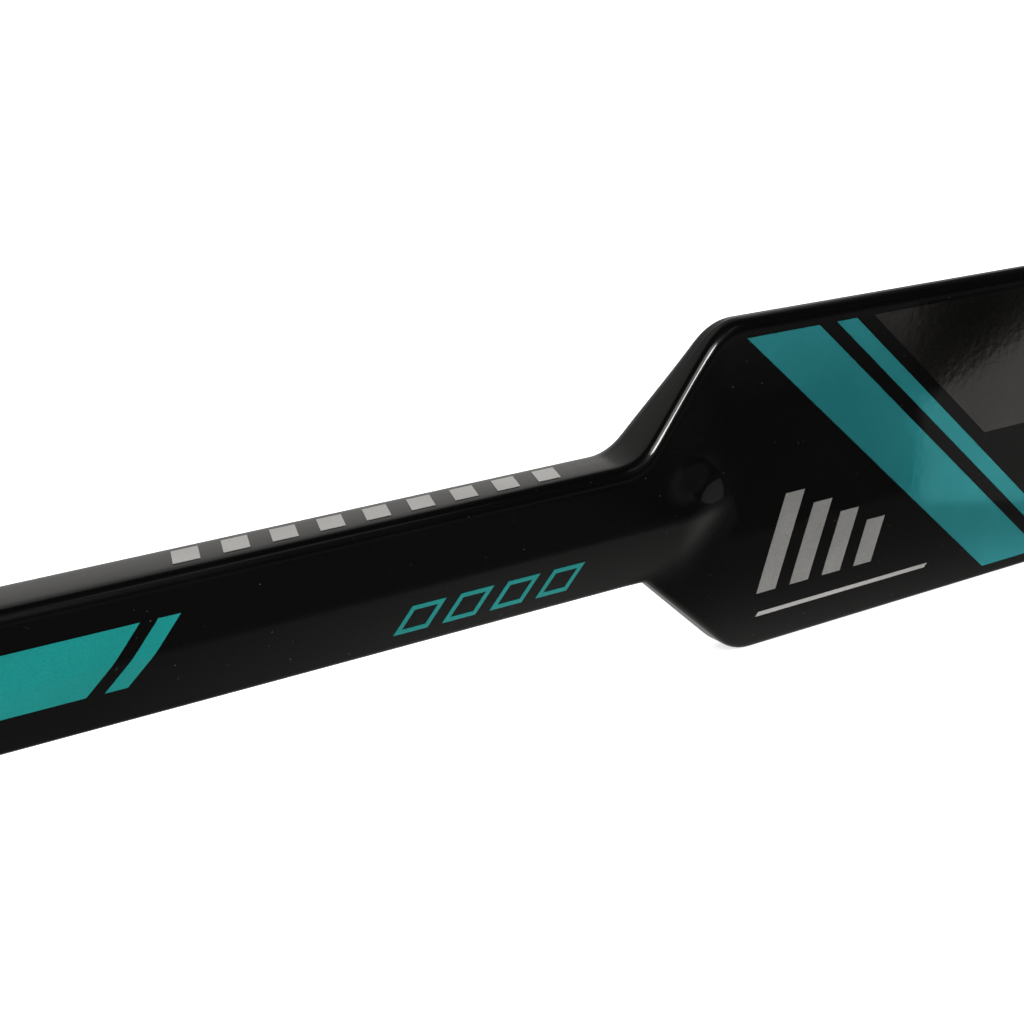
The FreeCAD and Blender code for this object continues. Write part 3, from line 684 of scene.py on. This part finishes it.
def make_blade_skin(name, node, front):
    """Thin curved face of the blade with a rounded outer rim."""
    side = -1 if front else 1
    bm = bmesh.new()
    round_corners(bm, blade_outline(bm, side * CORE_HALF))
    bmesh.ops.contextual_create(bm, geom=bm.edges[:])
    slice_for_curve(bm)
    lifted = verts_in(bmesh.ops.extrude_face_region(bm, geom=bm.faces[:])["geom"])
    bmesh.ops.translate(bm, vec=(0, side * (PADDLE_HALF - CORE_HALF), 0), verts=lifted)
    bmesh.ops.recalc_face_normals(bm, faces=bm.faces)
    outer = set(lifted)
    rim = [edge for edge in bm.edges if outer.issuperset(edge.verts)
           and edge.calc_face_angle(0) > RIM_TURN and not on_joint(edge)]
    bevel(bm, rim, RIM_ROUND, segments=5, affect="EDGES", clamp_overlap=True)
    curve_and_place(bm)
    sharpen(bm, BLADE_SHARP_ANGLE)
    piece(bm, name, COAT, node)


def make_blade_rail():
    """Solid rail between the two skins, open at the joint with the paddle."""
    bm = bmesh.new()
    round_corners(bm, blade_outline(bm, -CORE_HALF))
    joint = [edge for edge in bm.edges if on_joint(edge)]
    bmesh.ops.delete(bm, geom=joint, context="EDGES")
    slice_for_curve(bm)
    lifted = verts_in(bmesh.ops.extrude_edge_only(bm, edges=bm.edges[:])["geom"])
    bmesh.ops.translate(bm, vec=(0, 2 * CORE_HALF, 0), verts=lifted)
    face_outwards(bm, X, 1)
    curve_and_place(bm)
    sharpen(bm, BLADE_SHARP_ANGLE)
    made = piece(bm, "blade_rail_coated", COAT, "blade_edge_rail")
    thicken(made, RAIL_WALL)


# End plug: a cap that covers the shaft's mouth, and a stub inside it
SEAT_GAP = 0.2
CAP_DEPTH = 5
CAP_ROUND = 1.9
TOE_CORNER_ROUND = 3
KNEE_CORNER_ROUND = 1.6
SOLE_CORNER_ROUND = 2.4
STUB_INSET = 2.3
STUB_LENGTH = 26.8
TIP_LENGTH = 1.2
TIP_TAPER = (1, 0.84, 0.92)
PLUG_SHARP_ANGLE = 35
# A face looks into the shaft where its normal's x is over this
INTO_SHAFT = 0.9


def make_plug():
    """Plug with a rounded cap and a stub that fits the shaft's mouth."""
    bm = bmesh.new()
    front = [(SHAFT_HALF, SHAFT_TOP), (SHAFT_HALF, KNEE), (SOLE_HALF, SHAFT_SOLE)]
    around = front + [(-y, z) for y, z in reversed(front)]
    verts = [bm.verts.new((MOUTH - SEAT_GAP, y, z)) for y, z in around]
    bm.faces.new(verts)
    for pair, reach in (((0, 5), TOE_CORNER_ROUND), ((1, 4), KNEE_CORNER_ROUND),
                        ((2, 3), SOLE_CORNER_ROUND)):
        for index in pair:
            bevel(bm, [verts[index]], reach, segments=6, affect="VERTICES")
    cap = verts_in(bmesh.ops.extrude_face_region(bm, geom=bm.faces[:])["geom"])
    bmesh.ops.translate(bm, vec=(-CAP_DEPTH, 0, 0), verts=cap)
    bmesh.ops.recalc_face_normals(bm, faces=bm.faces)
    outer = set(cap)
    rim = [edge for edge in bm.edges if outer.issuperset(edge.verts)]
    bevel(bm, rim, CAP_ROUND, segments=5, affect="EDGES")
    seat = max(bm.faces, key=lambda face: face.calc_center_median().x)
    bmesh.ops.inset_region(bm, faces=[seat], thickness=STUB_INSET, use_even_offset=True)
    facing_shaft = [face for face in bm.faces if face.normal.x > INTO_SHAFT]
    seat = max(facing_shaft, key=lambda face: len(face.verts))
    stub = bmesh.ops.extrude_discrete_faces(bm, faces=[seat])["faces"]
    bmesh.ops.translate(bm, vec=(STUB_LENGTH, 0, 0), verts=stub[0].verts[:])
    tip = bmesh.ops.extrude_discrete_faces(bm, faces=stub)["faces"]
    bmesh.ops.translate(bm, vec=(TIP_LENGTH, 0, 0), verts=tip[0].verts[:])
    middle = Matrix.Translation((0, 0, -KNEE))
    bmesh.ops.scale(bm, vec=TIP_TAPER, verts=tip[0].verts[:], space=middle)
    to_metres(bm, -SHOULDER)
    sharpen(bm, PLUG_SHARP_ANGLE)
    piece(bm, "end_plug_moulded", RUBBER, "end_plug", body="plug")


# Teal band and bar on the shaft: start, end and the lean of the edge at the start
BAND_SLANT = 6
BANDS = ((-226, -166, 0), (-162, -157, BAND_SLANT))
BAND_UPPER = KNEE + 7.5
BAND_LOWER = KNEE - 7.1
# Folds that let the film follow the rounded knee, and its lift off the surface
FOLD = 0.5
FOLDS_EACH_WAY = 14
BAND_LIFT = 0.05
# A place well in front of the shaft's face
IN_FRONT = -20


def make_shaft_band(shaft):
    """Teal band and bar that lie on the shaft's face, over the knee and onto the facet."""
    finished = shaft.evaluated_get(bpy.context.evaluated_depsgraph_get())
    bm = bmesh.new()
    for start, end, lean in BANDS:
        loop = [(start - lean, BAND_LOWER), (end - BAND_SLANT, BAND_LOWER),
                (end + BAND_SLANT, BAND_UPPER), (start + lean, BAND_UPPER)]
        bm.faces.new([bm.verts.new((x, 0, z)) for x, z in loop])
    for step in range(-FOLDS_EACH_WAY, FOLDS_EACH_WAY + 1):
        cut(bm, near=1e-4, point=(0, 0, KNEE + FOLD * step), normal=(0, 0, 1))
    for vert in bm.verts:
        ahead = stick(vert.co.x, IN_FRONT, vert.co.z)
        vert.co = finished.ray_cast(ahead, (0, 1, 0))[1] - Vector((0, BAND_LIFT / 1000, 0))
    face_outwards(bm, Y, -1)
    keep_rims_sharp(bm)
    made = piece(bm, "shaft_band_printed", TEAL, "shaft_band_film")
    thicken(made, FILM)


shaft = make_shaft()
make_paddle_half("paddle_front_coated", "paddle_front_shell", True)
make_paddle_half("paddle_back_coated", "paddle_back_shell", False)
make_blade_skin("blade_front_coated", "blade_front_skin", True)
make_blade_skin("blade_back_coated", "blade_back_skin", False)
make_blade_rail()
make_plug()
make_shaft_band(shaft)


# Stage: studio cards that give the gloss its surroundings
FLOOR_REACH = 9
CARD_REACH = 3
TABLE_DEPTH = 1.5
TABLE_LEVEL = -0.001
BACKDROP_DEPTH = 1.2
BACKDROP_HEIGHT = 2
WARM_WHITE = (1, 0.985, 0.96, 1)
WHITE = (1, 1, 1, 1)

# Directions on a card, along which its tones change
TABLE_DIRECTIONS = {
    "x": (1, 0, 0), "y": (0, 1, 0), "gap": (0.69, 0.724, 0), "foot": (-0.71, 1, 0),
    "slant": (0.44, 1, 0),
}
# Tones: direction, where the change starts and ends, tone before it and after it
TABLE_TONES = {
    # Table top in front, brightest close to the stick and in a pool before the shoulder
    "near": ("y", -0.07, 0, 0, 1),
    "pool_left": ("x", -0.48, -0.37, 0.1, 0.45),
    "pool_right": ("x", -0.36, -0.14, 0.45, 0.06),
    "top": ("y", -0.076, -0.07, 0, 0.055),
    # Dim room past the table, on the left of a dark gap that runs away from the stick
    "room": ("y", -0.28, -0.18, 0.09, 0.02),
    "far": ("y", -0.8, -0.35, 0.25, 1),
    "left_of_gap": ("gap", -0.183, -0.176, 1, 0),
    # Haze over the left, and a faint veil before the end wall
    "haze": ("x", -0.29, -0.23, 0.045, 0),
    "veil": ("y", -0.34, -0.27, 0.05, 0.008),
    # Grey side wall in the gap, past the table and up to a slanting top
    "wall": ("gap", -0.179, -0.174, 0, 0.165),
    "past_table": ("foot", 0.067, 0.075, 1, 0),
    "below_top": ("slant", -0.195, -0.188, 0, 1),
}
# Sums: name, operation and the two values that it joins
TABLE_SUMS = (
    ("fall", "POWER", "near", 2.8),
    ("pool", "MINIMUM", "pool_left", "pool_right"),
    ("bright", "MULTIPLY", "fall", "pool"),
    ("table", "ADD", "bright", "top"),
    ("deep", "MULTIPLY", "room", "far"),
    ("dim", "MULTIPLY", "deep", "left_of_gap"),
    ("mist", "MAXIMUM", "haze", "veil"),
    ("air", "MAXIMUM", "dim", "mist"),
    ("lit", "MAXIMUM", "table", "air"),
    ("band", "MULTIPLY", "past_table", "below_top"),
    ("side", "MULTIPLY", "wall", "band"),
    ("total", "MAXIMUM", "lit", "side"),
)

# Table top behind, which only the back shows
REAR_DIRECTIONS = {"y": (0, 1, 0)}
REAR_TONES = {"depth": ("y", 0.02, 0.5, 0.3, 0.04)}

# Backdrop, brightest low down and towards the butt end
BACKDROP_DIRECTIONS = {"x": (1, 0, 0), "z": (0, 0, 1), "corner_way": (1, 0, 1)}
BACKDROP_TONES = {
    "low": ("z", 0.5, 0.85, 0.46, 0.25),
    "end": ("x", 0.45, 0.95, 1, 0.5),
    "corner": ("corner_way", 1.45, 1.8, 1, 0.1),
}
BACKDROP_SUMS = (("both", "MULTIPLY", "low", "end"), ("total", "MULTIPLY", "both", "corner"))

# Tones that change with a smooth step
SOFT_TONES = ("depth", "low", "end")

# Softbox behind the camera's left shoulder, its dim spill, and a dim light overhead:
# name, strength, middle, what it faces, width and height
SOFTBOXES = (
    ("softbox", 22, (-0.70, -0.89, 0.80), (-0.34, 0, 0.07), 0.44, 0.44),
    ("softbox_spill", 2.4, (-0.89, -0.59, 0.97), (-0.34, 0, 0.07), 0.5, 0.6),
    ("overhead", 0.25, (-0.02, -0.42, 1.0), (-0.45, 0, 0.06), 0.4, 0.22),
)

# Lamps: name, place, size and power; and the light of the room, as matt and as glossy faces get it
LAMPS = (
    ("key", (-0.9, -1.2, 1.6), 1.4, 26),
    ("fill", (0.9, -0.8, 1.4), 1.4, 14),
    ("back", (0.0, 1.4, 1.5), 1.6, 14),
)
LAMP_AIM = (-0.35, 0, 0.04)
ROOM_LIGHT = 0.45
ROOM_IN_GLOSS = 0.012

# Camera, fitted to the outlines of shaft and shoulder; its turns are in degrees, its sizes in mm
SENSOR = 36
LENS = 62.462
EYE = (-0.59978, -0.32968, 0.19188)
PAN = -33.28
TILT = 90 - 19.577
ROLL = -0.721


def card(name, corners, material, camera=False, glossy=True, diffuse=False):
    """Flat studio card that only some rays see."""
    bm = bmesh.new()
    bm.faces.new([bm.verts.new(corner) for corner in corners])
    mesh = bpy.data.meshes.new(name)
    bm.to_mesh(mesh)
    bm.free()
    mesh.materials.append(material)
    made = bpy.data.objects.new(name, mesh)
    scene.collection.objects.link(made)
    made.visible_camera = camera
    made.visible_glossy = glossy
    made.visible_diffuse = diffuse
    made.visible_transmission = False
    made.visible_shadow = False
    return made


def level_corners(reach, near, far, level):
    """Corners of a level card, as wide as its reach each way, from near to far."""
    return [(-reach, near, level), (reach, near, level), (reach, far, level), (-reach, far, level)]


def make_floor():
    """Pale floor that stays nearly white, with a faint shadow under the stick."""
    material, tree = bare_material("pale_floor")
    connect(tree, tree.nodes["Principled BSDF"], {
        "Base Color": linear("#E8E8E8"), "Roughness": 0.9, "Specular IOR Level": 0.1,
        "Emission Color": WHITE, "Emission Strength": 0.72,
    })
    corners = level_corners(FLOOR_REACH, -FLOOR_REACH, FLOOR_REACH, 0)
    floor = card("floor", corners, material, camera=True, glossy=False, diffuse=True)
    floor.visible_shadow = True


def glow(name, strength=1.0):
    """Light giving material for a studio card."""
    material, tree = bare_material(name)
    tree.nodes.remove(tree.nodes["Principled BSDF"])
    light = add(tree, "ShaderNodeEmission", {"Color": WARM_WHITE, "Strength": strength})
    connect(tree, tree.nodes["Material Output"], {"Surface": light.outputs[0]})
    return material


def patterned_glow(name, directions, tones, sums=()):
    """Light giving material whose strength changes across its card.

    A direction gives distances along it, a tone changes over such a distance, and a sum joins two
    earlier values. The last value is the strength.
    """
    material = glow(name)
    tree = material.node_tree
    place = add(tree, "ShaderNodeTexCoord").outputs["Object"]
    values = {}
    for key, direction in directions.items():
        distance = add(tree, "ShaderNodeVectorMath", {0: place, 1: direction}, operation="DOT_PRODUCT")
        values[key] = distance.outputs["Value"]
    for key, (along, start, end, before, after) in tones.items():
        change = add(tree, "ShaderNodeMapRange", {
            "Value": values[along], "From Min": start, "From Max": end,
            "To Min": before, "To Max": after,
        }, interpolation_type="SMOOTHSTEP" if key in SOFT_TONES else "LINEAR")
        values[key] = change.outputs["Result"]
    for key, operation, one, other in sums:
        joined = add(tree, "ShaderNodeMath", {
            0: values[one], 1: values.get(other, other),
        }, operation=operation)
        values[key] = joined.outputs[0]
    connect(tree, tree.nodes["Emission"], {"Strength": list(values.values())[-1]})
    return material


def make_table_cards():
    """Table top in front of the stick and behind it."""
    front = patterned_glow("table_in_gloss", TABLE_DIRECTIONS, TABLE_TONES, TABLE_SUMS)
    card("table_card", level_corners(CARD_REACH, -TABLE_DEPTH, 0, TABLE_LEVEL), front)
    rear = patterned_glow("rear_table_in_gloss", REAR_DIRECTIONS, REAR_TONES)
    card("rear_table_card", level_corners(CARD_REACH, 0, TABLE_DEPTH, TABLE_LEVEL), rear)


def make_backdrop():
    """Upright card behind the stick."""
    material = patterned_glow("backdrop_in_gloss", BACKDROP_DIRECTIONS, BACKDROP_TONES, BACKDROP_SUMS)
    left = (-CARD_REACH, BACKDROP_DEPTH)
    right = (CARD_REACH, BACKDROP_DEPTH)
    corners = [(*left, 0), (*right, 0), (*right, BACKDROP_HEIGHT), (*left, BACKDROP_HEIGHT)]
    card("backdrop_card", corners, material)


def make_softboxes():
    """Cards at their places, turned to face what they light."""
    halves = ((-0.5, -0.5), (0.5, -0.5), (0.5, 0.5), (-0.5, 0.5))
    for name, strength, middle, aim, width, height in SOFTBOXES:
        material = glow(name + "_in_gloss", strength)
        turn = (Vector(aim) - Vector(middle)).to_track_quat("-Z", "Y")
        corners = [Vector(middle) + turn @ Vector((x * width, y * height, 0)) for x, y in halves]
        card(name + "_card", corners, material)


def make_lamps():
    """Area lamps that light the stick and stay out of its gloss."""
    for name, place, size, power in LAMPS:
        light = bpy.data.lights.new(name, "AREA")
        light.size = size
        light.energy = power
        lamp = bpy.data.objects.new(name, light)
        scene.collection.objects.link(lamp)
        lamp.location = place
        aim = Vector(LAMP_AIM) - lamp.location
        lamp.rotation_euler = aim.to_track_quat("-Z", "Y").to_euler()
        lamp.visible_glossy = False


def make_room():
    """Soft light from all round, nearly dark in the gloss, and white behind the stick."""
    world = bpy.data.worlds.new("studio")
    scene.world = world
    world.use_nodes = True
    tree = world.node_tree
    path = add(tree, "ShaderNodeLightPath")
    soft = tree.nodes["Background"]
    connect(tree, soft, {"Color": WHITE, "Strength": ROOM_LIGHT})
    dim = add(tree, "ShaderNodeBackground", {"Color": WHITE, "Strength": ROOM_IN_GLOSS})
    white = add(tree, "ShaderNodeBackground", {"Color": WHITE, "Strength": 1.0})
    gloss = add(tree, "ShaderNodeMixShader", {
        0: path.outputs["Is Glossy Ray"], 1: soft.outputs[0], 2: dim.outputs[0],
    })
    seen = add(tree, "ShaderNodeMixShader", {
        0: path.outputs["Is Camera Ray"], 1: gloss.outputs[0], 2: white.outputs[0],
    })
    connect(tree, tree.nodes["World Output"], {"Surface": seen.outputs[0]})


def make_camera():
    """Camera at the photograph's viewing angle."""
    lens = bpy.data.cameras.new("camera")
    lens.sensor_width = SENSOR
    lens.lens = LENS
    lens.clip_start = 0.01
    eye = bpy.data.objects.new("camera", lens)
    scene.collection.objects.link(eye)
    eye.location = EYE
    pan = Matrix.Rotation(math.radians(PAN), 3, "Z")
    tilt = Matrix.Rotation(math.radians(TILT), 3, "X")
    roll = Matrix.Rotation(math.radians(ROLL), 3, "Z")
    eye.rotation_euler = (pan @ tilt @ roll).to_euler()
    scene.camera = eye


make_floor()
make_table_cards()
make_backdrop()
make_softboxes()
make_lamps()
make_room()
make_camera()
scene.view_settings.view_transform = "Standard"
